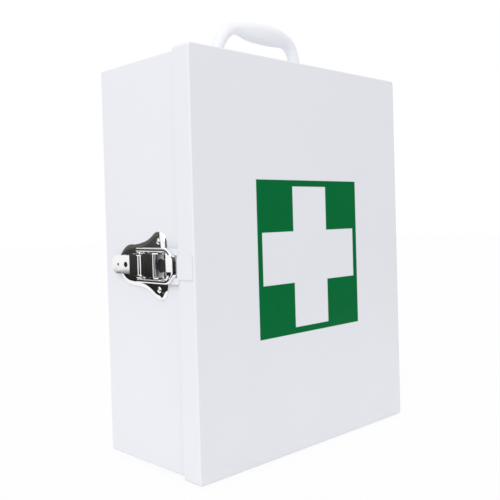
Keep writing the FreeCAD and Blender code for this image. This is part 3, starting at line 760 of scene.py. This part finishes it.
def mouldHandle():
    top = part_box("body_wrap")[1][2]
    middle = (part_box("handle")[0][1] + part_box("handle")[1][1]) / 2
    left = [(-carryLoop["footAcross"], rise, radius, radius) for rise, radius in carryLoop["foot"]]
    right = [(carryLoop["footAcross"], rise, radius, radius) for rise, radius in reversed(carryLoop["foot"])]
    stations = smoothLine(left + carryLoop["line"] + right, carryLoop["steps"])
    loops = []
    for index, (across, rise, thick, deep) in enumerate(stations):
        ahead = stations[min(index + 1, len(stations) - 1)] - stations[max(index - 1, 0)]
        along = Vector((ahead[0], 0.0, ahead[1])).normalized()
        normal = Vector((-along.z, 0.0, along.x))
        full = within((deep - carryLoop["slim"]) / carryLoop["fuller"])
        power = 2.0 / between(carryLoop["slimSquare"], carryLoop["fullSquare"], full)
        centre = Vector((across * mm, middle, top + rise * mm))
        section = squaredOval(0.0, 0.0, thick, deep, power, carryLoop["around"])
        loops.append([centre + normal * point.x * mm + Vector((0.0, point.y * mm, 0.0))
                      for point in section])
    shape = bmesh.new()
    skin(shape, loops, capped=True)
    return finishPiece(shape, "carryHandle", "handle_plastic", "cabinet", "handle",
                       crease=carryLoop["crease"])


mouldHandle()
print("handle moulded")


# stage, in metres: the lamp and the cards turn in degrees from -X towards -Y

studio = {"ambient": 0.837, "keyLight": 0.291, "keySpread": 40.0, "keyTurn": 30.0, "keyRise": 28.0,
          "floorSide": 12.0, "floorShade": (0.84, 0.84, 0.84, 1.0), "floorGlow": 0.95}
flags = {                                       # dark cards that only mirrors see, standing or lying
    "flagBehind": {"turn": -78.2, "reach": 1.6, "wide": 1.7, "high": 1.1,
                   "centre": Vector((-0.155, 0.0, 0.5)), "lies": False},
    "flagRight": {"turn": 140.0, "reach": 1.6, "wide": 2.6, "high": 2.0,
                  "centre": Vector((0.0, -0.07, 0.2)), "lies": False},
    "flagFront": {"turn": 64.0, "reach": 1.6, "wide": 2.7, "high": 1.3,
                  "centre": Vector((-0.155, -0.05, 0.6)), "lies": False},
    "flagFloor": {"turn": 90.0, "reach": 1.12, "wide": 3.6, "high": 1.4,
                  "centre": Vector((0.0, 0.0, 0.004)), "lies": True},
    "flagNear": {"turn": 0.0, "reach": 1.25, "wide": 1.3, "high": 1.5,
                 "centre": Vector((0.0, -0.35, 0.005)), "lies": True},
    "flagTable": {"turn": 0.0, "reach": 1.38, "wide": 1.6, "high": 1.24,
                  "centre": Vector((0.0, 1.1, 0.005)), "lies": True},
}
cardCloth = {"dark": (0.02, 0.02, 0.02, 1.0), "light": (0.13, 0.125, 0.12, 1.0), "low": 0.05, "gain": 3.5}


def seenDirectly(finish):                       # camera, mirror and glass rays
    camera, mirror, glass = (finish.add("ShaderNodeLightPath", out=ray)
                             for ray in ("Is Camera Ray", "Is Glossy Ray", "Is Transmission Ray"))
    return camera.larger(mirror).larger(glass)


def lightWorld():
    world = bpy.data.worlds.new("studio")
    world.use_nodes = True
    bpy.context.scene.world = world
    finish = Finish(world.node_tree)
    strength = studio["ambient"] + seenDirectly(finish) * (1.0 - studio["ambient"])
    glow = finish.add("ShaderNodeBackground", None, {"Color": white, "Strength": strength})
    finish.add("ShaderNodeOutputWorld", None, {"Surface": glow})


def flatCard(name, corners, material):
    mesh = bpy.data.meshes.new(name)
    mesh.from_pydata(corners, [], [(0, 1, 2, 3)])
    mesh.materials.append(material)
    return addObject(name, mesh)


def layFloor():
    half = studio["floorSide"] / 2
    material, finish = newFinish("paleFloor")
    matt = finish.add("ShaderNodeBsdfDiffuse", None, {"Color": studio["floorShade"]})
    glow = finish.add("ShaderNodeEmission", None, {"Color": white, "Strength": 1.0})
    share = seenDirectly(finish) * studio["floorGlow"]
    mixed = finish.add("ShaderNodeMixShader", None, {0: share, 1: matt, 2: glow})
    finish.add("ShaderNodeOutputMaterial", None, {"Surface": mixed})
    corners = [(-half, -half, 0), (half, -half, 0), (half, half, 0), (-half, half, 0)]
    floor = flatCard("floor", corners, material)


def outward(turn, rise):
    around, up = math.radians(turn), math.radians(rise)
    return Vector((-math.cos(around) * math.cos(up), -math.sin(around) * math.cos(up), math.sin(up)))


def hangKey():
    lamp = bpy.data.lights.new("key", "SUN")
    lamp.energy = studio["keyLight"] * math.pi
    lamp.angle = math.radians(studio["keySpread"])
    towards = outward(studio["keyTurn"], studio["keyRise"])
    addObject("key", lamp).rotation_euler = towards.to_track_quat("Z", "Y").to_euler()


def standFlag(name, flag):
    overhead = Vector((0.0, 0.0, 1.0))
    away = outward(flag["turn"], 0.0)
    across = overhead.cross(away) * flag["wide"] / 2
    up = (away if flag["lies"] else overhead) * flag["high"] / 2
    middle = flag["centre"] + away * flag["reach"]
    material, finish = newFinish(name)
    rise = finish.add("ShaderNodeSeparateXYZ", None, {0: finish.places()}, out="Z")
    factor = (rise - cardCloth["low"]) * cardCloth["gain"]      # paler towards the top
    shade = finish.blendColours(factor, cardCloth["dark"], cardCloth["light"])
    cloth = finish.add("ShaderNodeBsdfDiffuse", None, {"Color": shade})
    finish.add("ShaderNodeOutputMaterial", None, {"Surface": cloth})
    corners = [middle - across - up, middle + across - up, middle + across + up, middle - across + up]
    card = flatCard(name, corners, material)
    card.visible_camera = False
    card.visible_diffuse = False
    card.visible_shadow = False


view = {                                        # turned from +Y, tilted down, then rolled, in degrees
    "place": Vector((-0.53986, -0.53003, 0.23304)), "turn": -43.71, "tilt": 1.04, "roll": -1.62,
    "lens": 50.75, "sensor": 36.0, "shiftX": 0.0236, "shiftY": -0.038, "nearest": 0.01,
}


def setCamera():
    turn, tilt, roll = (math.radians(view[key]) for key in ("turn", "tilt", "roll"))
    ahead = Vector((-math.sin(turn) * math.cos(tilt), math.cos(turn) * math.cos(tilt), -math.sin(tilt)))
    level = Vector((math.cos(turn), math.sin(turn), 0.0))
    plumb = level.cross(ahead)
    right = level * math.cos(roll) + plumb * math.sin(roll)
    up = plumb * math.cos(roll) - level * math.sin(roll)
    camera = addObject("camera", bpy.data.cameras.new("camera"))
    camera.data.sensor_width = view["sensor"]
    camera.data.lens = view["lens"]
    camera.data.shift_x = view["shiftX"]
    camera.data.shift_y = view["shiftY"]
    camera.data.clip_start = view["nearest"]
    turned = Matrix((right, up, -ahead)).transposed().to_4x4()
    camera.matrix_world = Matrix.Translation(view["place"]) @ turned
    bpy.context.scene.camera = camera


lightWorld()
layFloor()
hangKey()
for flagName, flagSizes in flags.items():
    standFlag(flagName, flagSizes)
setCamera()
bpy.context.scene.view_settings.view_transform = "Standard"
print("stage set: world, floor, lamp, cards and camera")
